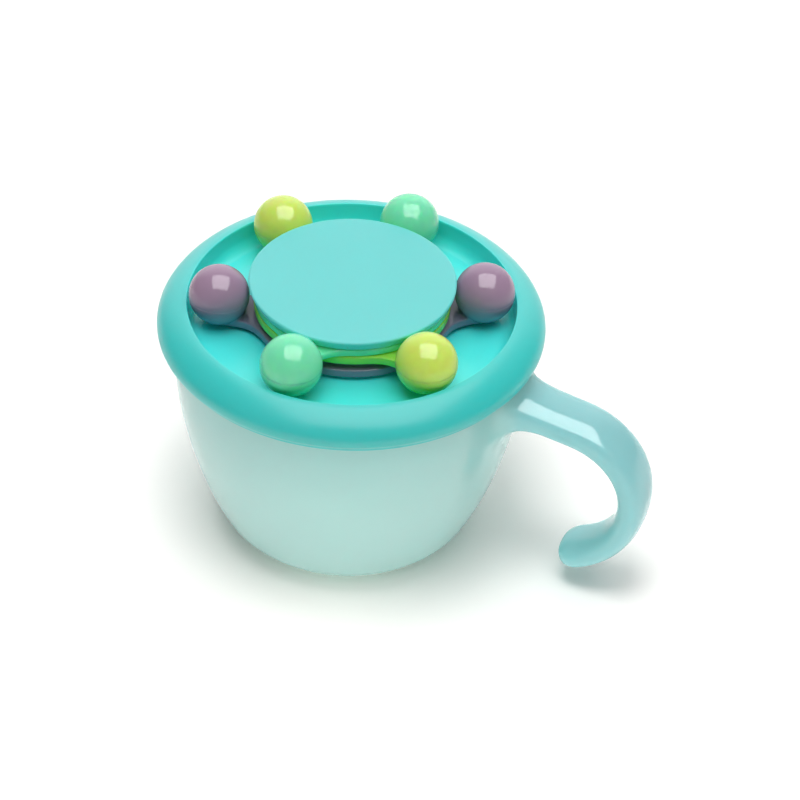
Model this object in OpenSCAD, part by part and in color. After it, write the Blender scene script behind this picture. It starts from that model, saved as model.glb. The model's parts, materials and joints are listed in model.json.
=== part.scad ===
// Toddler snack container: bowl with a hooked handle, soft finger trap,
// and a lid with three turning rings that carry six balls.
// Millimetres, +Z up. Origin: centre of the base on the bowl's axis.
// The handle points along +X.

/* [Bowl] */
// Radius of the flat base
base_r = 31.45; // [30.8:0.05:31.8]
// Height of the bowl's rim
rim_h = 71.6; // [71.2:0.1:71.7]
// Outer radius of the bowl just below the lid
neck_r = 48.64; // [48.4:0.02:48.8]
// Wall thickness of the bowl
wall = 1.9; // [1.6:0.1:2.0]
// Thickness of the floor
floor_t = 2.4; // [2:0.1:3]
// Outer radius of the snap lip at the rim
lip_r = 49.93; // [49.90:0.01:49.95]

/* [Handle] */
// Width of the handle across its plane
handle_w = 16.8; // [14:0.2:18]
// Thickness of the handle in its plane
handle_t = 9.1; // [8.5:0.1:9.3]
// Radius of the handle's rounded long edges
handle_edge_r = 3.4; // [2.6:0.1:3.6]
// Height of the handle's centre line where it leaves the wall
handle_root_h = 57.5; // [57:0.1:58]
// Downward slope of the first, straight run
handle_slope = 8.6; // [8:0.1:9]
// Length of the straight run, from 47.2 mm off the axis
handle_run = 21.5; // [20.5:0.1:22]
// Radius of the shoulder bend
bend_1_r = 21.2; // [21:0.1:21.6]
// Angle of the shoulder bend
bend_1_a = 74; // [73:0.5:75]
// Radius of the outer bend
bend_2_r = 25.2; // [25:0.1:25.6]
// Angle of the outer bend
bend_2_a = 67; // [66:0.5:68]
// Angle of the curled tip's bend
bend_3_a = 20; // [15:1:24]

/* [Lid] */
// Greatest radius of the rolled rim
lid_r = 54; // [53.8:0.05:54.4]
// Height of the ball track's sharp edge above the base
track_h = 75.91; // [75.8:0.01:76]
// Radius of the ball track's edge
track_r = 45.77; // [45.6:0.01:45.9]
// Depth of the ball track
track_d = 7.2; // [7:0.05:7.25]
// Height of the lid's skirt above the base
skirt_h = 65.38; // [65.2:0.02:65.6]
// Radius of the cap's flat top
cap_r = 28.97; // [28.8:0.01:29]
// Height of the cap's top above the track's edge
cap_h = 6.9; // [6.7:0.1:7]

/* [Spinner] */
// Radius of the balls
ball_r = 8.42; // [8.3:0.01:8.42]
// Radius of the circle the balls stand on
ball_circle_r = 36.68; // [36.66:0.01:36.72]
// Outer radius of the three rings
ring_r = 27.3; // [27.1:0.05:27.35]
// Radius of the axle the rings turn on
axle_r = 22; // [21:0.1:22.4]
// Running clearance of the rings, on the radius
run_gap = 0.06; // [0.04:0.01:0.09]
// Resting direction of the purple arms
purple_az = 25.3; // [24:0.1:27]
// Resting direction of the mint arms
mint_az = 86.6; // [85:0.1:88]
// Resting direction of the lime arms
lime_az = 145.5; // [144:0.1:147]

/* [Hidden] */
$fn = 72;

cup_colour = [0.72, 0.86, 0.85];
teal = [0.16, 0.78, 0.72];
cap_teal = [0.42, 0.86, 0.83];
purple = [0.70, 0.58, 0.72];
lime = [0.80, 0.88, 0.42];
mint = [0.52, 0.86, 0.66];
trap_colour = [0.60, 0.88, 0.86];

// points on a cubic curve, without its first point
function cubic(a, b, c, d, n) = [for (i = [1:n]) let (t = i / n, s = 1 - t)
    s*s*s*a + 3*s*s*t*b + 3*s*t*t*c + t*t*t*d];
function dir(a) = [cos(a), sin(a)];
// points on an arc of radius r about c, from angle a0 to a1
function arc(c, r, a0, a1, n) = [for (i = [0:n]) c + r * dir(a0 + (a1 - a0) * i / n)];

// outer line of the bowl, from the base to just below the lid: a rounded
// shoulder over the base, then one long swelling curve
shoulder = [37.87, 7.17];
shoulder_dir = 65.1;
neck = [neck_r, 66.52];
bowl_line = concat([[base_r, 0]],
    cubic([base_r, 0], [base_r, 0] + 2.49 * dir(46.3), shoulder - 2.34 * dir(shoulder_dir), shoulder, 4),
    cubic(shoulder, shoulder + 17.5 * dir(shoulder_dir), neck - 17.86 * dir(99.3), neck, 14));
// the same line moved inwards by t, along its normals
function inward(p, t) = [for (i = [1:len(p) - 1])
    let (d = p[min(i + 1, len(p) - 1)] - p[i - 1], m = norm(d)) p[i] + t * [-d[1], d[0]] / m];
inner_all = inward(bowl_line, wall);
inner_line = [for (p = inner_all) if (p[1] > floor_t + 3.2 && p[1] < 56.5) p];

// heights of the trap's seat and of the wide mouth
seat_h = 60.3;
mouth_h = 66.6;
mouth_r = 47.6;
seat_r = 46.9;

// the space inside the bowl, as a solid
module bowl_space() {
    f = inner_line[0];
    rotate_extrude()
        polygon(concat([[0, floor_t], [f[0] - 6.2, floor_t], [f[0] - 3.4, floor_t + 0.35], [f[0] - 1.3, floor_t + 1.5]],
            inner_line,
            [[45.7, 58.0], [45.7, seat_h], [seat_r, seat_h], [seat_r, mouth_h - 0.8], [mouth_r, mouth_h],
             [mouth_r, rim_h - 0.4], [mouth_r + 0.4, rim_h + 0.01], [mouth_r + 0.4, rim_h + 2], [0, rim_h + 2]]));
}

module bowl_skin() {
    rotate_extrude()
        polygon(concat([[0, 0]], bowl_line,
            [[neck_r + 0.25, 66.9], [lip_r - 0.1, 68.1], [lip_r, 68.4], [lip_r, rim_h - 0.6], [lip_r - 0.6, rim_h], [0, rim_h]]));
}

// shallow recess that leaves a ring of the base to stand on
module base_recess() {
    rotate_extrude() polygon([[0, -1], [25.4, -1], [25.4, 0], [24.6, 0.7], [0, 0.7]]);
}

// handle section: thickness along x, width along y, long edges rounded.
// g makes it slimmer all round: the handle thins towards its tip
module handle_section(g) {
    x = handle_t / 2 - handle_edge_r;
    y = handle_w / 2 - handle_edge_r;
    e = handle_edge_r - g;
    polygon(concat(arc([x, -y], e, -90, 0, 4), arc([x, y], e, 0, 90, 4),
        arc([-x, y], e, 90, 180, 4), arc([-x, -y], e, 180, 270, 4)));
}

// one bend: starts at p heading a0 degrees above +X and turns down by sweep.
// Its start reaches back into the piece before it.
back = 3;
module bend(p, a0, r, sweep, g) {
    c = p - r * dir(a0 + 90);
    translate([c[0], 0, c[1]]) rotate([90, 0, 0]) rotate([0, 0, a0 - sweep + 90])
        rotate_extrude(angle = sweep + back) translate([r, 0]) handle_section(g);
}
function bend_end(p, a0, r, sweep) = p - r * dir(a0 + 90) + r * dir(a0 - sweep + 90);

h0 = [47.2, handle_root_h];
ha = -handle_slope;
h1 = h0 + handle_run * dir(ha);
h2 = bend_end(h1, ha, bend_1_r, bend_1_a);
h3 = bend_end(h2, ha - bend_1_a, bend_2_r, bend_2_a);
bend_3_r = 11;
h4 = bend_end(h3, ha - bend_1_a - bend_2_a, bend_3_r, bend_3_a);

tip_a = ha - bend_1_a - bend_2_a - bend_3_a;
// the outer half of the section, from the handle's middle plane
module half_section(g) {
    x = handle_t / 2 - handle_edge_r;
    y = handle_w / 2 - handle_edge_r;
    e = handle_edge_r - g;
    polygon(concat([[0, -y - e]], arc([x, -y], e, -90, 0, 4), arc([x, y], e, 0, 90, 4), [[0, y + e]]));
}

module handle_run_bar(p, a, l) {
    translate([p[0], 0, p[1]]) rotate([0, 90 - a, 0]) linear_extrude(height = l) handle_section(0);
}

// root: spreads out sideways and downwards where the handle meets the wall
module handle_root() {
    hw = handle_w / 2;
    ht = handle_t / 2;
    intersection() {
        translate([0, 0, 30]) linear_extrude(height = 40)
            polygon(concat([[44, -hw - 3.4]], [for (i = [0:8]) let (t = i / 8) [48 + 12 * t, -hw - 3.4 * pow(1 - t, 2.2) + 0.35]],
                [for (i = [8:-1:0]) let (t = i / 8) [48 + 12 * t, hw + 3.4 * pow(1 - t, 2.2) - 0.35]], [[44, hw + 3.4]]));
        rotate([90, 0, 0]) translate([0, 0, -14]) linear_extrude(height = 28)
            polygon(concat([[44, h0[1] + ht + 2.2]],
                [for (i = [0:8]) let (t = i / 8, x = 48 + 12 * t) [x, h0[1] - (x - h0[0]) * tan(handle_slope) + ht / cos(handle_slope) + 2.2 * pow(1 - t, 2.4) - 0.2]],
                [for (i = [8:-1:0]) let (t = i / 8, x = 48 + 12 * t) [x, h0[1] - (x - h0[0]) * tan(handle_slope) - ht / cos(handle_slope) - 5.8 * pow(1 - t, 2.4) + 0.2]],
                [[44, h0[1] - ht - 5.8]]));
    }
}

module cup() {
    color(cup_colour) difference() {
        union() {
            bowl_skin();
            handle_run_bar([h0[0] - 3, h0[1] + 3 * tan(handle_slope)], ha, handle_run + 3 / cos(handle_slope));
            bend(h1, ha, bend_1_r, bend_1_a, 0.15);
            bend(h2, ha - bend_1_a, bend_2_r, bend_2_a, 0.3);
            bend(h3, ha - bend_1_a - bend_2_a, bend_3_r, bend_3_a, 0.45);
            // rounded tip
            translate([h4[0], 0, h4[1]]) rotate([90, 0, 0]) rotate([0, 0, tip_a - 96])
                rotate_extrude(angle = 192) half_section(0.6);
            handle_root();
        }
        bowl_space();
        base_recess();
    }
}

// soft insert: a seated ring with a thin slit membrane
module finger_trap() {
    color(trap_colour) difference() {
        rotate_extrude()
            polygon([[0, 60.0], [30, 60.5], [44.0, 60.9], [45.2, seat_h + 0.02], [seat_r - 0.08, seat_h + 0.02],
                     [seat_r - 0.08, 65.2], [seat_r - 0.5, 65.6], [44.9, 65.6], [44.4, 65.2], [44.4, 63.0], [43.4, 62.2], [30, 61.7], [0, 61.2]]);
        translate([0, 0, 55]) cylinder(r = 3.2, h = 10);
        for (i = [0:5]) rotate([0, 0, 60 * i + 30]) translate([0, -0.4, 55]) cube([34, 0.8, 10]);
        for (i = [0:5]) rotate([0, 0, 60 * i + 30]) translate([34, 0, 55]) cylinder(r = 1.1, h = 10);
    }
}

track_z = track_h - track_d;
fil = 4;
rim_out = [lid_r, track_h - 6.97];
skirt_end = [52.07, skirt_h];
lid_line = concat([[track_r, track_h]],
    cubic([track_r, track_h], [track_r + 2.6, track_h - 0.04], rim_out + [0, 3.3], rim_out, 12),
    cubic(rim_out, rim_out - [0, 2.27], skirt_end + [0, 1.96], skirt_end, 8));
thrust_z = track_h - 6.08;

module lid_shell() {
    color(teal) rotate_extrude()
        polygon(concat(
            [[20.05, track_z - 2.0], [20.05, 68.9], [axle_r + 0.04, 68.9], [axle_r + 0.04, thrust_z], [25.0, thrust_z], [25.4, thrust_z - 0.4],
             [25.6, track_z + 0.4], [26.2, track_z]],
            arc([track_r - 0.55 - fil, track_z + fil], fil, -90, 0, 8),
            [[track_r - 0.26, track_h - 0.35], [track_r - 0.1, track_h - 0.06]],
            lid_line,
            [[50.6, skirt_h], [50.0, skirt_h + 0.6], [50.0, 72.5], [49.3, 73.0], [48.3, 73.3], [47.3, 73.0], [47.3, track_z + 1.8]],
            arc([43.5, track_z + 1.8], 3.8, 0, -90, 6)));
}

cap_z = track_h + cap_h;
cap_under = track_h + 3.74;

module hub_cap() {
    color(cap_teal) rotate_extrude()
        polygon(concat(
            [[0, cap_z], [cap_r - 0.55, cap_z]],
            arc([cap_r - 0.55, cap_z - 0.55], 0.55, 75, 5, 4),
            [[cap_r - 1.3, cap_under + 0.35], [cap_r - 1.7, cap_under], [axle_r, cap_under],
             [axle_r, 69.1], [axle_r - 0.2, 68.9], [20.0, 68.9], [20.0, 65.3], [19.7, 65.0], [18.0, 65.0],
             [18.0, cap_z - 2.4], [0, cap_z - 2.4]]));
}

// closes the stem from below; its flange bears on the underside of the lid
module hub_retainer() {
    color(teal) difference() {
        rotate_extrude()
            polygon([[0, 63.6], [23.6, 63.6], [24.4, 64.4], [24.4, track_z - 2.0], [20.05, track_z - 2.0], [20.05, 65.0], [17.95, 65.0],
                     [17.95, 69.6], [17.5, 70.0], [16.1, 70.0], [16.1, 65.4], [0, 65.4]]);
        // three slots let the snap wall flex
        for (i = [0:2]) rotate([0, 0, 120 * i]) translate([10, -0.8, 65.5]) cube([10, 1.6, 6]);
    }
}

// radius of the collar that carries the ring above the purple one
collar_r = 24.6;

// the ring's section, from height z0 to z1, with small rounded edges; it has a
// collar next to the axle where its bore reaches higher, up to zc
module ring_body(z0, z1, zc) {
    e = 0.36;
    ri = axle_r + run_gap;
    rotate_extrude()
        polygon(concat(arc([ri + e * 0.5, z0 + e * 0.5], e * 0.5, 180, 270, 3), arc([ring_r - e, z0 + e], e, 270, 360, 4),
            arc([ring_r - e, z1 - e], e, 0, 90, 4),
            zc > z1 ? [[collar_r + 0.3, z1], [collar_r, z1 + 0.3], [collar_r, zc - 0.3], [collar_r - 0.3, zc]] : [],
            arc([ri + e * 0.5, zc - e * 0.5], e * 0.5, 90, 180, 3)));
}

// half width of an arm at distance r from the axis: it tapers towards the ball
// and flares where it leaves the ring
function arm_half(r) = 6 - 0.32 * (r - 28.8) + 0.35 * pow(max(0, 28.6 - r), 2);

// one flat arm along +X. z0,z1: its faces at the ring; b0,b1: its faces in the ball. g: clearance
module arm(z0, z1, b0, b1, g) {
    rs = [for (i = [0:8]) 25 + i, ball_circle_r + 0.01];
    ra = 28.6;
    rb = 31;
    intersection() {
        translate([0, 0, z0 - 20]) linear_extrude(height = 50)
            polygon(concat([for (r = rs) [r, -arm_half(r) - g]], [for (i = [len(rs) - 1:-1:0]) [rs[i], arm_half(rs[i]) + g]]));
        rotate([90, 0, 0]) translate([0, 0, -12]) linear_extrude(height = 24)
            polygon([[25, z0 - g], [ra, z0 - g], [rb, b0 - g], [ball_circle_r + 0.01, b0 - g],
                     [ball_circle_r + 0.01, b1 + g], [rb, b1 + g], [ra, z1 + g], [25, z1 + g]]);
    }
}

// ring heights [bottom, top], arm faces in the ball, and ball centre, above the track's edge
purple_z = [-5.94, -3.50];
lime_z = [-1.50, 1.14];
mint_z = [1.40, 3.44];
purple_b = [-5.36, -3.70];
lime_b = [-1.30, 0.94];
mint_b = [1.50, 3.30];
purple_c = 1.83;
lime_c = 2.53;
mint_c = 2.65;
collar_top = -1.76;
post_r = 2.2;
// radius of the round pad the arm ends in
purple_pad = 3.6;
pad_r = 4.4;
shell_t = 1.4;

module spinner_ring(z, b, c, az, pad, zc) {
    post_h = ball_r - shell_t - 0.15;
    rotate([0, 0, az]) translate([0, 0, track_h]) {
        ring_body(z[0], z[1], zc);
        for (s = [0, 180]) rotate([0, 0, s]) {
            difference() {
                arm(z[0] + 0.06, z[1] - 0.04, b[0], b[1], 0);
                translate([0, 0, -20]) cylinder(r = axle_r + 1.5, h = 40);
            }
            translate([ball_circle_r, 0, c - post_h]) cylinder(r = post_r, h = 2 * post_h);
            translate([ball_circle_r, 0, b[0]]) cylinder(r = pad, h = b[1] - b[0]);
        }
    }
}

// half of a hollow ball: top = 1 or bottom = -1
module ball_half(z, b, c, az, s, top, pad) {
    rotate([0, 0, az + s]) translate([0, 0, track_h]) difference() {
        union() {
            difference() {
                intersection() {
                    translate([ball_circle_r, 0, c]) sphere(r = ball_r);
                    translate([ball_circle_r - 10, -10, top > 0 ? c : c - 20]) cube([20, 20, 20]);
                }
                translate([ball_circle_r, 0, c]) sphere(r = ball_r - shell_t);
            }
            // boss round the post, where the arm leaves room for one
            if (top > 0 || b[0] > c - 5) intersection() {
                translate([ball_circle_r, 0, c]) sphere(r = ball_r - shell_t + 0.2);
                translate([ball_circle_r, 0, top > 0 ? c + 3.4 : c - 3.4 - 6]) cylinder(r = 3.6, h = 6);
            }
        }
        arm(z[0] + 0.06, z[1] - 0.04, b[0], b[1], 0.05);
        translate([ball_circle_r, 0, c - ball_r + shell_t]) cylinder(r = post_r + 0.05, h = 2 * (ball_r - shell_t));
        translate([ball_circle_r, 0, b[0] - 0.05]) cylinder(r = pad + 0.05, h = b[1] - b[0] + 0.1);
    }
}

module ring_purple() { color(purple) spinner_ring(purple_z, purple_b, purple_c, purple_az, purple_pad, collar_top); }
module ring_lime() { color(lime) spinner_ring(lime_z, lime_b, lime_c, lime_az, pad_r, lime_z[1]); }
module ring_mint() { color(mint) spinner_ring(mint_z, mint_b, mint_c, mint_az, pad_r, mint_z[1]); }
module ball_purple(s, top) { color(purple) ball_half(purple_z, purple_b, purple_c, purple_az, s, top, purple_pad); }
module ball_lime(s, top) { color(lime) ball_half(lime_z, lime_b, lime_c, lime_az, s, top, pad_r); }
module ball_mint(s, top) { color(mint) ball_half(mint_z, mint_b, mint_c, mint_az, s, top, pad_r); }

cup();
finger_trap();
lid_shell();
hub_cap();
hub_retainer();
ring_purple();
ring_lime();
ring_mint();
ball_purple(0, 1);  // ball_purple_a_top
ball_purple(0, -1);  // ball_purple_a_bottom
ball_purple(180, 1);  // ball_purple_b_top
ball_purple(180, -1);  // ball_purple_b_bottom
ball_lime(0, 1);  // ball_lime_a_top
ball_lime(0, -1);  // ball_lime_a_bottom
ball_lime(180, 1);  // ball_lime_b_top
ball_lime(180, -1);  // ball_lime_b_bottom
ball_mint(0, 1);  // ball_mint_a_top
ball_mint(0, -1);  // ball_mint_a_bottom
ball_mint(180, 1);  // ball_mint_b_top
ball_mint(180, -1);  // ball_mint_b_bottom
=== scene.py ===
import json
import math

import bpy
import numpy as np
from mathutils import Matrix, Vector

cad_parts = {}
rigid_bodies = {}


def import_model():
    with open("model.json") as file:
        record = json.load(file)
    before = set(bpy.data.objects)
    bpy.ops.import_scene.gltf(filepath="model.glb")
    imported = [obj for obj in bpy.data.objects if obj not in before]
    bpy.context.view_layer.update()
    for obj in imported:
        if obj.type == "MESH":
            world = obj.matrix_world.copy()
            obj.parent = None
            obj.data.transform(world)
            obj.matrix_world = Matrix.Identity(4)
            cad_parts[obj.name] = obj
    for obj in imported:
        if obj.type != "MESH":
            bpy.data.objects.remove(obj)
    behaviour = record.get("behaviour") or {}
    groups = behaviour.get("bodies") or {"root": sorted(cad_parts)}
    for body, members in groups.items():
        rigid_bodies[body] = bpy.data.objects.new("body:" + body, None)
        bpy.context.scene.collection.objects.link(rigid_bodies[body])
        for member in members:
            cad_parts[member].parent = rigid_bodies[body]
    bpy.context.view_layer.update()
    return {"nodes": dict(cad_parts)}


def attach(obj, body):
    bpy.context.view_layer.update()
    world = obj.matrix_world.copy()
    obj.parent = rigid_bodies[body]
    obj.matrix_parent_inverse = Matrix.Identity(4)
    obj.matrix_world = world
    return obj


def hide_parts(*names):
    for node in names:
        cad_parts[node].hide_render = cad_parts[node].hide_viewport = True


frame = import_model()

MM = 0.001
nodes = frame["nodes"]

# ---------------------------------------------------------------- sizes, mm
TRACK_H = 75.91          # the ball track's edge above the base
TRACK_R = 45.77
TRACK_Z = TRACK_H - 7.2
LID_R = 54.0
SKIRT_H = 65.38
CAP_R = 28.97
CAP_Z = TRACK_H + 6.9
BALL_R = 8.42
BALL_C = 36.68
RING_R = 27.3
AXLE_R = 22.0
RIM_H = 71.6


# ---------------------------------------------------------------- curves
def cubic(a, b, c, d, n):
    a, b, c, d = (np.asarray(v, float) for v in (a, b, c, d))
    t = np.linspace(0, 1, n + 1)[1:, None]
    return (1 - t) ** 3 * a + 3 * (1 - t) ** 2 * t * b + 3 * (1 - t) * t * t * c + t ** 3 * d


def direction(deg):
    return np.array([math.cos(math.radians(deg)), math.sin(math.radians(deg))])


def rounded(points, closed=True, step=9.0):
    """points: (r, z) or (r, z, corner radius). Returns the outline with its corners rounded."""
    n = len(points)
    out = []
    for i, p in enumerate(points):
        q = np.array(p[:2], float)
        rad = p[2] if len(p) > 2 else 0.0
        if rad <= 0 or (not closed and i in (0, n - 1)):
            out.append(q)
            continue
        a = np.array(points[i - 1][:2], float) - q
        b = np.array(points[(i + 1) % n][:2], float) - q
        la, lb = np.linalg.norm(a), np.linalg.norm(b)
        a, b = a / la, b / lb
        inner = math.acos(max(-1, min(1, float(a @ b))))
        turn = math.pi - inner
        if turn < 0.02:
            out.append(q)
            continue
        t = min(rad * math.tan(turn / 2), 0.48 * la, 0.48 * lb)
        rr = t / math.tan(turn / 2)
        mid = (a + b) / np.linalg.norm(a + b)
        c = q + mid * rr / math.sin(inner / 2)
        v0, v1 = q + a * t - c, q + b * t - c
        m = max(3, int(math.degrees(turn) / step) + 1)
        s0 = math.atan2(v0[1], v0[0])
        d = math.atan2(v0[0] * v1[1] - v0[1] * v1[0], float(v0 @ v1))
        for k in range(m + 1):
            s = s0 + d * k / m
            out.append(c + rr * np.array([math.cos(s), math.sin(s)]))
    return np.array(out)


def dense(P, longest, closed=True):
    """Adds points on long stretches, and one close to each end of them."""
    out = []
    n = len(P)
    for i in range(n if closed else n - 1):
        a, b = P[i], P[(i + 1) % n]
        L = np.linalg.norm(b - a)
        out.append(a)
        if L > longest * 1.2:
            e = min(0.12 * longest, 0.2)
            ts = [e / L] + list(np.linspace(0, 1, int(L / longest) + 2)[1:-1]) + [1 - e / L]
            out += [a + (b - a) * t for t in ts]
    if not closed:
        out.append(P[-1])
    return np.array(out)


# ---------------------------------------------------------------- meshes
def mesh_object(name, V, faces, sharp=None):
    me = bpy.data.meshes.new(name)
    me.from_pydata((np.asarray(V) * MM).tolist(), [], faces if isinstance(faces, list) else faces.tolist())
    me.validate()
    me.shade_smooth()
    if sharp:
        me.set_sharp_from_angle(angle=math.radians(sharp))
    o = bpy.data.objects.new(name, me)
    bpy.context.scene.collection.objects.link(o)
    return o


def lathe(name, P, n=256, closed=True, centre=(0, 0), sharp=None):
    """Turns the outline P, of (r, z) running anticlockwise round the solid's section, about a vertical axis.
    Where an open outline starts or ends at r 0, that point becomes one vertex."""
    P = np.asarray(P, float)
    area = 0.5 * np.sum(P[:, 0] * np.roll(P[:, 1], -1) - np.roll(P[:, 0], -1) * P[:, 1])
    if area < 0:
        P = P[::-1]
    m = len(P)
    ang = np.linspace(0, 2 * math.pi, n, endpoint=False)
    rows, V = [], []
    for r, z in P:
        if r < 1e-6:
            rows.append([len(V)] * n)
            V.append((centre[0], centre[1], z))
        else:
            rows.append(list(range(len(V), len(V) + n)))
            V += [(centre[0] + r * math.cos(a), centre[1] + r * math.sin(a), z) for a in ang]
    F = []
    for i in range(m if closed else m - 1):
        A, B = rows[i], rows[(i + 1) % m]
        if A[0] == A[1] and B[0] == B[1]:
            continue
        for j in range(n):
            k = (j + 1) % n
            if A[0] == A[1]:
                F.append((A[0], B[k], B[j]))
            elif B[0] == B[1]:
                F.append((A[j], A[k], B[0]))
            else:
                F.append((A[j], A[k], B[k], B[j]))
    return mesh_object(name, np.array(V), F, sharp)


def surface_nets(F, org, h):
    """A closed quad mesh of F = 0 (F is negative inside)."""
    S = F < 0
    tot = np.zeros(tuple(s - 1 for s in F.shape), np.int8)
    for dx in (0, 1):
        for dy in (0, 1):
            for dz in (0, 1):
                tot += S[dx:S.shape[0] - 1 + dx, dy:S.shape[1] - 1 + dy, dz:S.shape[2] - 1 + dz]
    act = (tot > 0) & (tot < 8)
    idx = np.full(act.shape, -1, np.int64)
    I, J, K = np.nonzero(act)
    idx[act] = np.arange(len(I))
    pos = np.zeros((len(I), 3))
    cnt = np.zeros(len(I))
    corner = [(x, y, z) for x in (0, 1) for y in (0, 1) for z in (0, 1)]
    for a in corner:
        for ax in range(3):
            if a[ax]:
                continue
            b = tuple(v + (1 if i == ax else 0) for i, v in enumerate(a))
            fa = F[I + a[0], J + a[1], K + a[2]]
            fb = F[I + b[0], J + b[1], K + b[2]]
            m = (fa < 0) != (fb < 0)
            t = np.where(m, fa / np.where(m, fa - fb, 1), 0)
            p = np.array(a, float)[None] + t[:, None] * (np.array(b, float) - np.array(a, float))[None]
            pos[m] += p[m]
            cnt[m] += 1
    V = (pos / cnt[:, None] + np.stack([I, J, K], 1)) * h + org
    quads = []
    for ax in range(3):
        o1, o2 = (ax + 1) % 3, (ax + 2) % 3
        lo = [slice(1, -1)] * 3
        hi = [slice(1, -1)] * 3
        lo[ax], hi[ax] = slice(0, -1), slice(1, None)
        s0, s1 = S[tuple(lo)], S[tuple(hi)]
        m = s0 != s1
        g = np.stack(np.nonzero(m), 1)
        g[:, o1] += 1
        g[:, o2] += 1
        inside = s0[m]

        def cell(d1, d2):
            q = g.copy()
            q[:, o1] += d1
            q[:, o2] += d2
            return idx[q[:, 0], q[:, 1], q[:, 2]]

        q = np.stack([cell(-1, -1), cell(0, -1), cell(0, 0), cell(-1, 0)], 1)
        q[~inside] = q[~inside][:, ::-1]
        quads.append(q)
    return V, np.concatenate(quads)


def project(f, V, steps=3, e=0.02, most=0.5):
    for _ in range(steps):
        g = np.stack([(f(V + d) - f(V - d)) / (2 * e) for d in np.eye(3) * e], 1)
        v = f(V)
        gg = np.maximum((g * g).sum(1), 0.05)
        move = -(v / gg)[:, None] * g
        ln = np.linalg.norm(move, axis=1)
        move *= np.minimum(1, most / np.maximum(ln, 1e-9))[:, None]
        V = V + move
    return V


def implicit(name, f, lo, hi, h, relax=4, sharp=None, floor_z=None):
    """The closed surface f = 0 in the box lo..hi, on a grid of pitch h, moved exactly onto the surface."""
    lo, hi = np.asarray(lo, float), np.asarray(hi, float)
    n = np.ceil((hi - lo) / h).astype(int) + 1
    xs, ys, zs = (lo[i] + h * np.arange(n[i]) for i in range(3))
    F = np.empty(tuple(n), np.float32)
    Y, Z = np.meshgrid(ys, zs, indexing="ij")
    flat = np.stack([np.zeros(Y.size), Y.ravel(), Z.ravel()], 1)
    for i, x in enumerate(xs):
        flat[:, 0] = x
        F[i] = f(flat).reshape(Y.shape)
    V, Q = surface_nets(F, lo, h)
    E = np.concatenate([Q[:, [0, 1]], Q[:, [1, 2]], Q[:, [2, 3]], Q[:, [3, 0]]])
    deg = np.bincount(E[:, 0], minlength=len(V)) + np.bincount(E[:, 1], minlength=len(V))
    V = project(f, V, 2)
    for _ in range(relax):
        s = np.stack([np.bincount(E[:, 0], V[E[:, 1], c], len(V)) + np.bincount(E[:, 1], V[E[:, 0], c], len(V)) for c in range(3)], 1)
        V = V + 0.6 * (s / deg[:, None] - V)
        V = project(f, V, 1, most=0.8)
    V = project(f, V, 2)
    if floor_z is not None:
        V[:, 2] = np.maximum(V[:, 2], floor_z)
    return mesh_object(name, V, Q, sharp)


# ---------------------------------------------------------------- distance tables
class Table:
    """A function of two variables on a regular grid, read back with smooth (Catmull-Rom) interpolation."""

    def __init__(self, x0, y0, h, T):
        self.x0, self.y0, self.h, self.T = x0, y0, h, T

    def __call__(self, x, y):
        u = np.clip((x - self.x0) / self.h, 1, self.T.shape[0] - 3.001)
        v = np.clip((y - self.y0) / self.h, 1, self.T.shape[1] - 3.001)
        i, j = u.astype(int), v.astype(int)
        u, v = u - i, v - j

        def w(t):
            return (-0.5 * t + t * t - 0.5 * t ** 3, 1 - 2.5 * t * t + 1.5 * t ** 3, 0.5 * t + 2 * t * t - 1.5 * t ** 3, -0.5 * t * t + 0.5 * t ** 3)

        wu, wv = w(u), w(v)
        out = 0
        for a in range(4):
            row = 0
            for b in range(4):
                row = row + wv[b] * self.T[i + a - 1, j + b - 1]
            out = out + wu[a] * row
        return out


def outline_table(P, lo, hi, h, skip_axis=True):
    """Signed distance to the closed outline P. Edges left of the axis don't count as surface."""
    P = np.asarray(P, float)
    A, B = P, np.roll(P, -1, 0)
    nx, ny = (int(math.ceil((hi[i] - lo[i]) / h)) + 1 for i in (0, 1))
    X, Y = np.meshgrid(lo[0] + h * np.arange(nx), lo[1] + h * np.arange(ny), indexing="ij")
    x, y = X.ravel(), Y.ravel()
    best = np.full(x.shape, 1e18)
    inside = np.zeros(x.shape, bool)
    for a, b in zip(A, B):
        cross = ((a[1] > y) != (b[1] > y))
        if cross.any() and abs(b[1] - a[1]) > 1e-12:
            inside ^= cross & (x < (b[0] - a[0]) * (y - a[1]) / (b[1] - a[1]) + a[0])
        if skip_axis and a[0] < 0.01 and b[0] < 0.01:
            continue
        e = b - a
        t = np.clip(((x - a[0]) * e[0] + (y - a[1]) * e[1]) / max(e @ e, 1e-12), 0, 1)
        d = (x - a[0] - t * e[0]) ** 2 + (y - a[1] - t * e[1]) ** 2
        np.minimum(best, d, out=best)
    d = np.sqrt(best) * np.where(inside, -1, 1)
    return Table(lo[0], lo[1], h, d.reshape(nx, ny))


def smin(a, b, k):
    m = np.maximum(k - np.abs(a - b), 0) / k
    return np.minimum(a, b) - m * m * k * 0.25


def smax(a, b, k):
    return -smin(-a, -b, k)


# ---------------------------------------------------------------- bowl and handle
SHOULDER, SDIR = np.array([37.87, 7.17]), 65.1
NECK = np.array([48.64, 66.52])


def bowl_line(n1=14, n2=70):
    a = np.array([31.45, 0.0])
    return np.vstack([
        [a],
        cubic(a, a + 2.49 * direction(46.3), SHOULDER - 2.34 * direction(SDIR), SHOULDER, n1),
        cubic(SHOULDER, SHOULDER + 17.5 * direction(SDIR), NECK - 17.86 * direction(99.3), NECK, n2)])


def inward(P, t):
    d = np.gradient(P, axis=0)
    d /= np.linalg.norm(d, axis=1)[:, None]
    return P + t * np.stack([-d[:, 1], d[:, 0]], 1)


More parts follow.
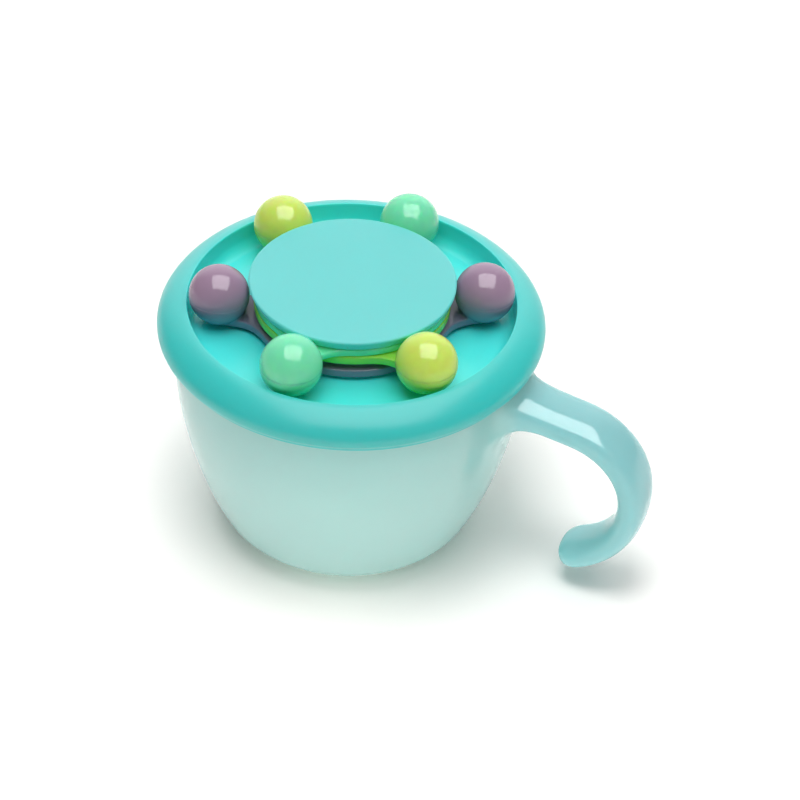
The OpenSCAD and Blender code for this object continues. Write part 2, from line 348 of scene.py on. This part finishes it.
LINE = bowl_line()
BOWL_OUT = np.vstack([
    rounded([(-4, 0.7), (24.7, 0.7, 0.5), (25.4, 0.0, 0.4), (30.9, 0.0, 0.5), (31.25, 0.12, 0.3), (31.42, 0.62, 0.3), (31.9, 0.75, 0.2), (32.3, 0.95)], closed=False),
    LINE[LINE[:, 1] > 1.25],
    rounded([(48.66, 66.6), (48.9, 67.0, 1.0), (49.83, 68.1, 0.8), (49.93, 68.5, 0.5), (49.93, 71.6, 0.7), (46.5, 71.6)], closed=False),
    [(-4, 71.6)]])
INNER = inward(LINE, 1.9)
INNER = INNER[(INNER[:, 1] > 8.0) & (INNER[:, 1] < 56)]
f0 = INNER[0]
BOWL_IN = np.vstack([
    rounded([(-4, 2.4), (24, 2.4), (30.8, 2.6, 9.0), (33.9, 4.6, 5.0), tuple(f0)], closed=False),
    INNER[1:],
    rounded([(46.9, 57.2, 1.2), (45.75, 58.3, 0.6), (45.75, 60.3, 0.3), (46.9, 60.3, 0.3), (46.9, 65.6, 0.8), (47.6, 66.6, 0.8), (47.6, 71.4), (47.6, 76.0)], closed=False)[1:],
    [(-4, 76.0)]])

# the handle's middle line, in the plane of X and Z: a straight run, then bends that
# pass smoothly into each other
S_STEP = 0.1
runs = [(7.0 + 21.3, 0.0), (math.radians(74) * 21.2, 1 / 21.2), (math.radians(67) * 25.2, 1 / 25.2), (math.radians(20) * 11.0, 1 / 11.0), (16.0, 0.0)]
kap = np.concatenate([np.full(int(round(l / S_STEP)), k) for l, k in runs])
ker = np.hanning(71)
ker /= ker.sum()
kap = np.convolve(np.pad(kap, 35, mode="edge"), ker, "valid")
theta = -math.radians(8.6) - np.concatenate([[0], np.cumsum(kap) * S_STEP])
start = np.array([47.2, 57.5]) - 7.0 * np.array([math.cos(theta[0]), math.sin(theta[0])])
tm = 0.5 * (theta[1:] + theta[:-1])
MID = start + np.vstack([[0, 0], np.cumsum(np.stack([np.cos(tm), np.sin(tm)], 1) * S_STEP, axis=0)])
SARC = np.arange(len(MID)) * S_STEP
S_END = sum(l for l, _ in runs[:-1]) + 3.7 - 6.6     # the rounded tip starts here
TIP = 6.6


def handle_tables(h=0.3):
    lo, hi = (36.0, -6.0), (98.0, 76.0)
    nx, nz = (int((hi[i] - lo[i]) / h) + 1 for i in (0, 1))
    X, Z = np.meshgrid(lo[0] + h * np.arange(nx), lo[1] + h * np.arange(nz), indexing="ij")
    x, z = X.ravel(), Z.ravel()
    C = MID[::4]
    near = np.full(x.shape, 1e18)
    at = np.zeros(x.shape, int)
    for i, c in enumerate(C):
        d = (x - c[0]) ** 2 + (z - c[1]) ** 2
        m = d < near
        near[m] = d[m]
        at[m] = i
    at = np.clip(at * 4, 0, len(MID) - 1)
    best = np.full(x.shape, 1e18)
    s = np.zeros(x.shape)
    n = np.zeros(x.shape)
    for off in range(-5, 5):
        i = np.clip(at + off, 0, len(MID) - 2)
        a, b = MID[i], MID[i + 1]
        e = b - a
        t = np.clip(((x - a[:, 0]) * e[:, 0] + (z - a[:, 1]) * e[:, 1]) / S_STEP ** 2, 0, 1)
        dx, dz = x - a[:, 0] - t * e[:, 0], z - a[:, 1] - t * e[:, 1]
        d = dx * dx + dz * dz
        m = d < best
        best[m] = d[m]
        s[m] = (i + t)[m] * S_STEP
        n[m] = (np.sqrt(d) * np.sign(e[:, 0] * dz - e[:, 1] * dx))[m]
    return Table(lo[0], lo[1], h, s.reshape(nx, nz)), Table(lo[0], lo[1], h, n.reshape(nx, nz))


TS, TN = handle_tables()
P_SEC = 2.45


def handle_f(x, y, z):
    s, n = TS(x, z), TN(x, z)
    q = np.clip((s - 7) / (S_END + TIP - 7), 0, 1)
    # the root spreads sideways and, more, downwards
    t = np.clip((61.0 - x) / 13.0, 0, 1.15) ** 2.2
    a = 4.45 - 0.65 * q + np.where(n < 0, 4.8, 1.6) * t
    b = 8.3 - 0.3 * q + 3.2 * t
    e = np.maximum(s - S_END, 0)
    un, uy, ue = np.abs(n) / a, np.abs(y) / b, e / TIP
    g = (un ** P_SEC + uy ** P_SEC + ue ** P_SEC) ** (1 / P_SEC) + 1e-6
    gr = g ** (1 - P_SEC) * np.sqrt((un ** (P_SEC - 1) / a) ** 2 + (uy ** (P_SEC - 1) / b) ** 2 + (ue ** (P_SEC - 1) / TIP) ** 2)
    return (g - 1) / np.maximum(gr, 0.04)


OUT_T = outline_table(BOWL_OUT, (-2, -4), (62, 78), 0.2)
IN_T = outline_table(BOWL_IN, (-2, -4), (62, 78), 0.2)


def cup_f(P):
    x, y, z = P[:, 0], P[:, 1], P[:, 2]
    r = np.hypot(x, y)
    u = OUT_T(r, z)
    m = x > 38
    if m.any():
        um = u[m]
        hf = handle_f(x[m], y[m], z[m])
        u = u.copy()
        u[m] = smin(um, hf, 5.0)
    return smax(u, -IN_T(r, z), 0.5)


cup = implicit("bowl_and_handle", cup_f, (-51.2, -51.2, -1.0), (92.4, 51.2, 73.0), 0.62, relax=3, floor_z=0.0)
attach(cup, "bowl")
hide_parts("cup")

# ---------------------------------------------------------------- lid
rim = np.array([LID_R, TRACK_H - 6.97])
skirt = np.array([52.07, SKIRT_H])
edge = np.array([TRACK_R, TRACK_H])
fil = 4.0
thrust = TRACK_H - 6.08
lid_out = np.vstack([
    rounded([(20.05, TRACK_Z - 2.0, 0.3), (20.05, 68.9), (AXLE_R + 0.04, 68.9), (AXLE_R + 0.04, thrust, 0.2), (25.3, thrust, 0.4), (25.7, TRACK_Z, 0.5), (30.0, TRACK_Z)], closed=False),
    rounded([(30.0, TRACK_Z), (TRACK_R - 0.62, TRACK_Z, fil), (TRACK_R - 0.28, TRACK_H - 0.6, 0.0)], closed=False, step=6)[1:],
    rounded([(TRACK_R - 0.28, TRACK_H - 0.6), (TRACK_R - 0.10, TRACK_H + 0.0, 0.2), (TRACK_R + 1.0, TRACK_H - 0.05)], closed=False, step=12)[1:-1],
    cubic(edge, edge + [2.6, -0.04], rim + [0, 3.3], rim, 40)[4:],
    cubic(rim, rim - [0, 2.27], skirt + [0, 1.96], skirt, 16)[:-1],
    rounded([(52.09, SKIRT_H + 0.4), (52.05, SKIRT_H, 0.4), (50.6, SKIRT_H, 0.3), (50.0, SKIRT_H + 0.6, 0.3), (50.0, 72.5, 0.5), (49.3, 73.0, 0.4), (48.3, 73.3, 0.4), (47.3, 73.0, 0.3),
             (47.3, TRACK_Z - 2.0, 3.8), (24.4, TRACK_Z - 2.0)], closed=False)[1:]])
lid = lathe("lid_rim_and_track", dense(lid_out, 1.5), 360, sharp=40)
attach(lid, "lid")
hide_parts("lid_shell")

# ---------------------------------------------------------------- cap on the hub
under = TRACK_H + 3.74
cap_line = dense(rounded([
    (0, CAP_Z), (CAP_R, CAP_Z, 0.55), (CAP_R - 1.62, under, 0.35), (AXLE_R, under, 0.2), (AXLE_R, 68.92, 0.2), (20.0, 68.92), (20.0, 65.02, 0.3),
    (18.0, 65.02, 0.3), (18.0, CAP_Z - 2.4, 0.8), (0, CAP_Z - 2.4)], closed=False, step=10), 1.5, closed=False)
cap = lathe("hub_cap_disc", cap_line, 288, closed=False, sharp=40)
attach(cap, "lid")
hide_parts("hub_cap")

ret_line = dense(rounded([
    (0, 63.6), (24.4, 63.6, 0.9), (24.4, TRACK_Z - 2.0, 0.2), (20.05, TRACK_Z - 2.0), (20.05, 65.0), (17.95, 65.0), (17.95, 70.0, 0.4), (16.1, 70.0, 0.4), (16.1, 65.4, 0.5), (0, 65.4)],
    closed=False), 1.5, closed=False)
ret = lathe("hub_retainer_disc", ret_line, 192, closed=False, sharp=40)
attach(ret, "lid")
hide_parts("hub_retainer")

# ---------------------------------------------------------------- spinners
SPIN = {
    # colour: (ring bottom, ring top), ball centre height, azimuth, top of the inner collar
    "purple": ((-5.94, -3.50), 1.83, 25.3, -1.76),
    "lime": ((-1.50, 1.14), 2.53, 145.5, None),
    "mint": ((1.40, 3.44), 2.65, 86.6, None),
}


def smooth01(t):
    t = np.clip(t, 0, 1)
    return t * t * (3 - 2 * t)


def box2(dx, dz, e):
    """Distance to a rectangle whose corners are rounded by e; dx, dz are past its faces."""
    dx, dz = dx + e, dz + e
    return np.hypot(np.maximum(dx, 0), np.maximum(dz, 0)) + np.minimum(np.maximum(dx, dz), 0) - e


def ring_f(z, c, collar):
    z0, z1 = z
    e = 0.36
    ri = AXLE_R + 0.06

    def f(P):
        x, y, h = P[:, 0], P[:, 1], P[:, 2]
        r = np.hypot(x, y)
        flat = np.maximum(h - z1, z0 - h)
        ax = np.abs(x)
        # plan of ring and arms: the arms flare into the ring and taper towards the ball
        half = 6.0 - 0.32 * (ax - 28.8)
        arm = np.maximum((np.abs(y) - half) / 1.05, ax - BALL_C)
        plan = smin(np.maximum(r - RING_R, -20.0), arm, 4.6)
        d = box2(plan, flat, e)
        # a collar that runs smoothly onto the ball
        ball = np.sqrt((ax - BALL_C) ** 2 + y * y + (h - c) ** 2) - BALL_R
        both = smin(d, ball, 1.1)
        inside = np.maximum(both + 0.03, ax - (BALL_C - 1.0))
        out = np.maximum(inside, -(ball + 0.6))
        if collar is not None:
            out = np.minimum(out, box2(r - 24.7, h - collar, 0.3) + 0 * h)
            out = np.maximum(out, z0 - h)
        out = smax(out, ri - r, 0.3)
        return out

    return f


def move(o, az, up=TRACK_H):
    o.data.transform(Matrix.Translation((0, 0, up * MM)) @ Matrix.Rotation(math.radians(az), 4, "Z"))


spinner_pieces = {}
for colour, (z, c, az, collar) in SPIN.items():
    lo = (-BALL_C - 0.5, -28.2, z[0] - 1.6)
    hi = (BALL_C + 0.5, 28.2, max(z[1], collar or z[1]) + 1.6)
    ring = implicit(f"ring_and_arms_{colour}", ring_f(z, c, collar), lo, hi, 0.33, relax=3)
    move(ring, az)
    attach(ring, f"spinner_{colour}")
    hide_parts(f"ring_{colour}")
    spinner_pieces[ring.name] = colour
    for side, turn in (("a", 0), ("b", 180)):
        for part, sign in (("top", 1), ("bottom", -1)):
            t0 = math.asin(0.006 / BALL_R)
            outer = [(BALL_R * math.cos(a), BALL_R * math.sin(a)) for a in np.linspace(math.pi / 2, t0, 40)]
            outer[0] = (0.0, BALL_R)
            rin = BALL_R - 1.4
            inner = [(rin * math.cos(a), rin * math.sin(a)) for a in np.linspace(0.0, math.pi / 2, 18)]
            inner[0] = (rin, 0.0)
            inner[-1] = (0.0, rin)
            line = np.array(outer + [(BALL_R - 0.006, 0.0)] + inner) * [1, sign]
            shell = lathe(f"ball_{colour}_{side}_{part}_shell", line, 96, closed=False, centre=(0, 0), sharp=50)
            a = math.radians(az + turn)
            shell.data.transform(Matrix.Translation((BALL_C * MM * math.cos(a), BALL_C * MM * math.sin(a), (TRACK_H + c) * MM)))
            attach(shell, f"spinner_{colour}")
            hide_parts(f"ball_{colour}_{side}_{part}")
            spinner_pieces[shell.name] = colour

# ---------------------------------------------------------------- finger trap
TRAP = rounded([(-4, 59.98), (30, 60.45, 6), (44.0, 60.8, 0.8), (45.2, 60.5, 0.3), (46.8, 60.5, 0.5), (46.8, 65.6, 0.5), (44.9, 65.6, 0.5), (44.4, 65.2, 0.4), (44.4, 62.6, 1.5),
                (42.0, 61.9, 2.0), (30, 61.7, 4), (-4, 61.25)])
TRAP_T = outline_table(TRAP, (-2, 56), (50, 70), 0.15)


def trap_f(P):
    x, y, z = P[:, 0], P[:, 1], P[:, 2]
    r = np.hypot(x, y)
    f = TRAP_T(r, z)
    a = np.arctan2(y, x)
    w = math.pi / 3
    a = (a - math.radians(30) + w / 2) % w - w / 2
    u, v = r * np.cos(a), np.abs(r * np.sin(a))
    end = np.hypot(np.maximum(u - 34, 0), v)
    slit = np.where(u > 34, end - 1.05, np.maximum(v - 0.38, 0) * 1.0 - np.where(v < 0.38, 0.38 - v, 0))
    slit = np.minimum(slit, np.hypot(u - 34, v) - 1.05)
    slit = np.minimum(slit, r - 3.2)
    return smax(f, -slit, 0.5)


trap = implicit("finger_trap_insert", trap_f, (-47.6, -47.6, 58.6), (47.6, 47.6, 66.6), 0.5, relax=2, sharp=60)
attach(trap, "trap")
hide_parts("finger_trap")


# ---------------------------------------------------------------- materials
def srgb(r, g, b):
    return tuple((v / 12.92 if v <= 0.04045 else ((v + 0.055) / 1.055) ** 2.4) for v in (r / 255, g / 255, b / 255)) + (1.0,)


def plastic(name, colour, rough, grain=2600, grain_depth=0.00001, wave=140, wave_depth=0.0, vary=0.03, rough_vary=0.05, tint_and_painted_shade_by_radius=None, painted_bounce_low=None, **sockets):
    """Moulded plastic: a slight drift of colour, a fine mould grain and broad, faint waves in the surface.
    tint_and_painted_shade_by_radius = (colour, r0, r1): the colour shown beyond radius r1, blended from r0 on.
    On the bowl it is the deeper, bluer tint of the solid handle together with painted shade, darker where the
    solid handle passes less light; on the lid it is painted light and shade, with the ball track painted
    lighter and the rim painted darker.
    painted_bounce_low = (colour, z0, z1): painted reflected light and shade, the underside tinted by teal light
    bounced up from the track, shown below z0 and blended out up to z1."""
    m = bpy.data.materials.new(name)
    m.use_nodes = True
    nt = m.node_tree
    bsdf = nt.nodes["Principled BSDF"]
    co = nt.nodes.new("ShaderNodeTexCoord")
    big = nt.nodes.new("ShaderNodeTexNoise")
    big.inputs["Scale"].default_value = 38
    big.inputs["Detail"].default_value = 3
    nt.links.new(co.outputs["Object"], big.inputs["Vector"])
    ramp = nt.nodes.new("ShaderNodeMix")
    ramp.data_type = "RGBA"
    ramp.inputs["A"].default_value = tuple(max(0, v * (1 - vary)) for v in colour[:3]) + (1,)
    ramp.inputs["B"].default_value = tuple(min(1, v * (1 + vary)) for v in colour[:3]) + (1,)
    nt.links.new(big.outputs["Fac"], ramp.inputs["Factor"])
    tint = ramp.outputs["Result"]
    # colour by distance from the axis: on the bowl, the deeper tint of the solid handle with painted shade; on
    # the lid, the ball track painted lighter and the rim painted darker
    if tint_and_painted_shade_by_radius:
        flat = nt.nodes.new("ShaderNodeVectorMath")
        flat.operation = "MULTIPLY"
        flat.inputs[1].default_value = (1, 1, 0)
        nt.links.new(co.outputs["Object"], flat.inputs[0])
        rad = nt.nodes.new("ShaderNodeVectorMath")
        rad.operation = "LENGTH"
        nt.links.new(flat.outputs["Vector"], rad.inputs[0])
        out = nt.nodes.new("ShaderNodeMapRange")
        out.interpolation_type = "SMOOTHSTEP"
        out.inputs["From Min"].default_value = tint_and_painted_shade_by_radius[1]
        out.inputs["From Max"].default_value = tint_and_painted_shade_by_radius[2]
        nt.links.new(rad.outputs["Value"], out.inputs["Value"])
        radius_shade_mix = nt.nodes.new("ShaderNodeMix")
        radius_shade_mix.data_type = "RGBA"
        radius_shade_mix.inputs["B"].default_value = tint_and_painted_shade_by_radius[0] + (1,)
        nt.links.new(out.outputs["Result"], radius_shade_mix.inputs["Factor"])
        nt.links.new(tint, radius_shade_mix.inputs["A"])
        tint = radius_shade_mix.outputs["Result"]
    # colour by height: painted reflected light and shade, the underside tinted by teal light bounced up from
    # the track
    if painted_bounce_low:
        part = nt.nodes.new("ShaderNodeSeparateXYZ")
        nt.links.new(co.outputs["Object"], part.inputs[0])
        down = nt.nodes.new("ShaderNodeMapRange")
        down.interpolation_type = "SMOOTHSTEP"
        down.inputs["From Min"].default_value = painted_bounce_low[1]
        down.inputs["From Max"].default_value = painted_bounce_low[2]
        down.inputs["To Min"].default_value = 1.0
        down.inputs["To Max"].default_value = 0.0
        nt.links.new(part.outputs["Z"], down.inputs["Value"])
        bounce_shade_mix = nt.nodes.new("ShaderNodeMix")
        bounce_shade_mix.data_type = "RGBA"
        bounce_shade_mix.inputs["B"].default_value = painted_bounce_low[0] + (1,)
        nt.links.new(down.outputs["Result"], bounce_shade_mix.inputs["Factor"])
        nt.links.new(tint, bounce_shade_mix.inputs["A"])
        tint = bounce_shade_mix.outputs["Result"]
    nt.links.new(tint, bsdf.inputs["Base Color"])
    fine = nt.nodes.new("ShaderNodeTexNoise")
    fine.inputs["Scale"].default_value = grain
    fine.inputs["Detail"].default_value = 2
    nt.links.new(co.outputs["Object"], fine.inputs["Vector"])
    rr = nt.nodes.new("ShaderNodeMapRange")
    rr.inputs["To Min"].default_value = max(0.02, rough - rough_vary)
    rr.inputs["To Max"].default_value = rough + rough_vary
    nt.links.new(big.outputs["Fac"], rr.inputs["Value"])
    nt.links.new(rr.outputs["Result"], bsdf.inputs["Roughness"])
    bump = nt.nodes.new("ShaderNodeBump")
    bump.inputs["Strength"].default_value = 1.0
    bump.inputs["Distance"].default_value = grain_depth
    nt.links.new(fine.outputs["Fac"], bump.inputs["Height"])
    last = bump
    if wave_depth:
        broad = nt.nodes.new("ShaderNodeTexNoise")
        broad.inputs["Scale"].default_value = wave
        broad.inputs["Detail"].default_value = 1
        nt.links.new(co.outputs["Object"], broad.inputs["Vector"])
        b2 = nt.nodes.new("ShaderNodeBump")
        b2.inputs["Strength"].default_value = 1.0
        b2.inputs["Distance"].default_value = wave_depth
        nt.links.new(broad.outputs["Fac"], b2.inputs["Height"])
        nt.links.new(bump.outputs["Normal"], b2.inputs["Normal"])
        last = b2
    nt.links.new(last.outputs["Normal"], bsdf.inputs["Normal"])
    for k, v in sockets.items():
        bsdf.inputs[k.replace("_", " ")].default_value = v
    return m


def dress(o, m):
    o.data.materials.clear()
    o.data.materials.append(m)


M = {
    # the bowl: its handle takes a deeper, bluer tint with painted shade (colour by radius)
    "cup": plastic("milky_plastic", (0.42, 0.715, 0.685, 1), 0.12, rough_vary=0.02, grain_depth=0.000001, tint_and_painted_shade_by_radius=((0.31, 0.64, 0.66), 0.0478, 0.0560), Subsurface_Weight=1.0, Subsurface_Scale=0.006, Subsurface_Radius=(0.8, 1.0, 1.0), Specular_IOR_Level=0.5),
    # the lid: painted light and shade, the ball track painted lighter and the rim painted darker (colour by
    # radius)
    "lid": plastic("teal_satin", (0.085, 0.77, 0.755, 1), 0.30, rough_vary=0.02, tint_and_painted_shade_by_radius=((0.055, 0.61, 0.58), 0.0450, 0.0462), Subsurface_Weight=1.0, Subsurface_Scale=0.0008, Subsurface_Radius=(0.15, 1.0, 0.95), Specular_IOR_Level=0.7),
    "cap": plastic("cap_matte", (0.14, 0.73, 0.71, 1), 0.42, rough_vary=0.02, grain=1900, grain_depth=0.000012, Subsurface_Weight=1.0, Subsurface_Scale=0.0006, Subsurface_Radius=(0.2, 1.0, 0.95), Specular_IOR_Level=0.8),
    # the balls: their undersides take painted reflected light and shade from the track below (colour by height)
    "purple": plastic("purple_gloss", (0.41, 0.275, 0.395, 1), 0.12, rough_vary=0.02, painted_bounce_low=((0.22, 0.21, 0.31), 0.0720, 0.0820), grain_depth=0.000001, IOR=1.5, Specular_IOR_Level=0.35),
    "lime": plastic("lime_gloss", (0.73, 0.97, 0.18, 1), 0.12, rough_vary=0.02, painted_bounce_low=((0.18, 0.74, 0.11), 0.0732, 0.0805), grain_depth=0.000001, IOR=1.5, Subsurface_Weight=1.0, Subsurface_Scale=0.0006, Subsurface_Radius=(0.6, 1.0, 0.2), Specular_IOR_Level=0.35),
    "mint": plastic("mint_gloss", (0.25, 0.96, 0.56, 1), 0.12, rough_vary=0.02, painted_bounce_low=((0.02, 0.69, 0.32), 0.0732, 0.0805), grain_depth=0.000001, IOR=1.5, Subsurface_Weight=1.0, Subsurface_Scale=0.0006, Subsurface_Radius=(0.3, 1.0, 0.6), Specular_IOR_Level=0.35),
    "trap": plastic("trap_silicone", srgb(150, 224, 218), 0.38, grain_depth=0.000012, Subsurface_Weight=0.5, Subsurface_Scale=0.002),
}
dress(cup, M["cup"])
dress(lid, M["lid"])
dress(cap, M["cap"])
dress(ret, M["lid"])
dress(trap, M["trap"])
for name, colour in spinner_pieces.items():
    dress(bpy.data.objects[name], M[colour])

# ---------------------------------------------------------------- floor, light, camera
fm = bpy.data.materials.new("studio_floor")
fm.use_nodes = True
fb = fm.node_tree.nodes["Principled BSDF"]
fn = fm.node_tree.nodes.new("ShaderNodeTexNoise")
fn.inputs["Scale"].default_value = 3
fr = fm.node_tree.nodes.new("ShaderNodeMapRange")
fr.inputs["To Min"].default_value = 0.9
fr.inputs["To Max"].default_value = 1.0
fm.node_tree.links.new(fn.outputs["Fac"], fr.inputs["Value"])
fm.node_tree.links.new(fr.outputs["Result"], fb.inputs["Roughness"])
fb.inputs["Base Color"].default_value = (0.955, 0.925, 0.905, 1)
fb.inputs["Specular IOR Level"].default_value = 0.1
bpy.ops.mesh.primitive_plane_add(size=8, location=(0, 0, 0))
floor = bpy.context.object
floor.name = "studio_floor"
floor.data.materials.append(fm)

HANDLE_AZ = math.radians(22.0)      # the row frame is turned this much from the camera's
TURN = Matrix.Rotation(HANDLE_AZ, 3, "Z")


def area(name, direction, distance, size, power, colour=(1, 1, 1)):
    d = TURN @ Vector(direction).normalized()
    L = bpy.data.lights.new(name, "AREA")
    L.shape = "SQUARE"
    L.size = size
    L.energy = power
    L.color = colour
    o = bpy.data.objects.new(name, L)
    bpy.context.scene.collection.objects.link(o)
    o.location = Vector((0, 0, 0.05)) + d * distance
    z = d
    x = (TURN @ Vector((1, 0, 0)))
    y = z.cross(x).normalized()
    x = y.cross(z).normalized()
    o.rotation_euler = Matrix((x, y, z)).transposed().to_euler()
    return o


key = area("key_softbox", (0.10, -0.07, 0.99), 2.0, 2.2, 36)

# the floor has its own pair of lamps, so that it reads white and its shadows stay soft and close
on_floor = bpy.data.collections.new("floor_only")
on_floor.objects.link(floor)
off_floor = bpy.data.collections.new("all_but_floor")
for o in bpy.context.scene.objects:
    if o.type == "MESH" and o is not floor:
        off_floor.objects.link(o)
key.light_linking.receiver_collection = off_floor
for nm, dr, size, power in (("floor_wide", (0.10, -0.07, 0.99), 2.2, 22), ("floor_close", (-0.08, -0.12, 0.99), 0.8, 23)):
    L = area(nm, dr, 2.0, size, power)
    L.light_linking.receiver_collection = on_floor

# a lower lamp from the front reaches into the ball track; it leaves no reflection of its own
on_lid = bpy.data.collections.new("lid_only")
on_lid.objects.link(lid)
front = area("lid_front_top", (0, -0.32, 0.95), 2.0, 0.9, 9)
front.visible_glossy = False
front.light_linking.receiver_collection = on_lid

# the glossy pieces mirror the softbox more crisply than the matte ones: this lamp adds to their sheen only
card = area("gloss_card", (0.10, -0.07, 0.99), 2.1, 2.3, 86)
card.visible_diffuse = False
glossy = bpy.data.collections.new("glossy_pieces")
for o in off_floor.objects:
    if o is cup or o.name in spinner_pieces:
        glossy.objects.link(o)
card.light_linking.receiver_collection = glossy

# a low lamp in front reaches the bowl under the rim's overhang; it leaves no reflection of its own
low_front = area("bowl_front", (0, -0.95, 0.28), 1.5, 0.5, 5.2, (1.0, 0.82, 0.79))
low_front.visible_glossy = False

# light that passes through the translucent bowl lifts the shadow on the floor beside it
spill = bpy.data.lights.new("floor_spill", "POINT")
spill.energy = 0.020
spill.shadow_soft_size = 0.02
spill.color = (1.0, 0.93, 0.86)
spill_o = bpy.data.objects.new("floor_spill", spill)
bpy.context.scene.collection.objects.link(spill_o)
spill_o.location = TURN @ Vector((-0.003, -0.045, 0.037))
spill_o.light_linking.receiver_collection = on_floor
spill_o.light_linking.blocker_collection = on_floor

# a soft lamp in the bowl stands in for the daylight that fills a translucent vessel; only the bowl takes it
glow = bpy.data.lights.new("bowl_glow", "POINT")
glow.energy = 0.010
glow.shadow_soft_size = 0.012
glow.color = (1.0, 0.64, 0.58)
glow_o = bpy.data.objects.new("bowl_glow", glow)
bpy.context.scene.collection.objects.link(glow_o)
glow_o.location = TURN @ Vector((0, -0.028, 0.045))
in_bowl = bpy.data.collections.new("bowl_only")
in_bowl.objects.link(cup)
glow_o.light_linking.receiver_collection = in_bowl
low_front.light_linking.receiver_collection = in_bowl
glow_o.light_linking.blocker_collection = in_bowl

world = bpy.data.worlds.new("studio")
bpy.context.scene.world = world
world.use_nodes = True
wn = world.node_tree
# a white sweep behind the object, a soft fill in front of it and a dim room to the sides
co = wn.nodes.new("ShaderNodeTexCoord")


def lobe(direction, lo, hi, strength):
    dot = wn.nodes.new("ShaderNodeVectorMath")
    dot.operation = "DOT_PRODUCT"
    dot.inputs[1].default_value = TURN @ Vector(direction).normalized()
    wn.links.new(co.outputs["Generated"], dot.inputs[0])
    g = wn.nodes.new("ShaderNodeMapRange")
    g.interpolation_type = "SMOOTHSTEP"
    g.inputs["From Min"].default_value = lo
    g.inputs["From Max"].default_value = hi
    g.inputs["To Min"].default_value = 0.0
    g.inputs["To Max"].default_value = strength
    wn.links.new(dot.outputs["Value"], g.inputs["Value"])
    return g.outputs["Result"]


total = wn.nodes.new("ShaderNodeMath")
total.operation = "ADD"
wn.links.new(lobe((0, 0.94, 0.34), 0.55, 0.95, 1.25), total.inputs[0])
wn.links.new(lobe((0, -0.85, 0.50), 0.25, 0.95, 0.14), total.inputs[1])
last = wn.nodes.new("ShaderNodeMath")
last.operation = "ADD"
wn.links.new(total.outputs[0], last.inputs[0])
last.inputs[1].default_value = 0.05
wn.links.new(last.outputs[0], wn.nodes["Background"].inputs["Strength"])
wn.nodes["Background"].inputs["Color"].default_value = (1, 1, 1, 1)

# camera from the fitted view: focal length in pixels of an 800-pixel frame, elevation,
# roll, distance in track radii, and the offset of the axis from the frame's middle
FPX, EL, ROLL, DIST, AX, AY = 2404.214, math.radians(37.328), math.radians(1.602), 14.532, -47.676, -101.154
S = TRACK_R
fwd = np.array([0, math.cos(EL), -math.sin(EL)])
right = np.array([1.0, 0, 0])
up = np.cross(right, fwd)
d = np.array([AX, -AY, FPX])
d /= np.linalg.norm(d)
zz = np.array([0, 0, 1.0])
v = np.cross(d, zz)
s_, c_ = np.linalg.norm(v), d @ zz
Kx = np.array([[0, -v[2], v[1]], [v[2], 0, -v[0]], [-v[1], v[0], 0]])
R = np.eye(3) + Kx + Kx @ Kx * ((1 - c_) / s_ ** 2)
Rr = np.array([[math.cos(ROLL), -math.sin(ROLL), 0], [math.sin(ROLL), math.cos(ROLL), 0], [0, 0, 1]])
Mc = np.stack([right, up, fwd], 1) @ Rr @ R
pos = -fwd * DIST * S + np.array([0, 0, TRACK_H])
T3 = np.array(TURN)
pos, Mc = T3 @ pos, T3 @ Mc
cd = bpy.data.cameras.new("camera")
cd.sensor_width = 36
cd.lens = FPX / 800 * 36
cd.clip_start = 0.01
cd.clip_end = 50
cam = bpy.data.objects.new("camera", cd)
bpy.context.scene.collection.objects.link(cam)
mw = np.eye(4)
mw[:3, 0], mw[:3, 1], mw[:3, 2] = Mc[:, 0], Mc[:, 1], -Mc[:, 2]
mw[:3, 3] = pos * MM
cam.matrix_world = Matrix(mw.tolist())
bpy.context.scene.camera = cam

bpy.context.scene.cycles.max_bounces = 20
bpy.context.scene.cycles.diffuse_bounces = 14
bpy.context.scene.cycles.caustics_reflective = False
vs = bpy.context.scene.view_settings
vs.view_transform = "Standard"
vs.look = "None"
vs.exposure = 0.0
vs.gamma = 1.0
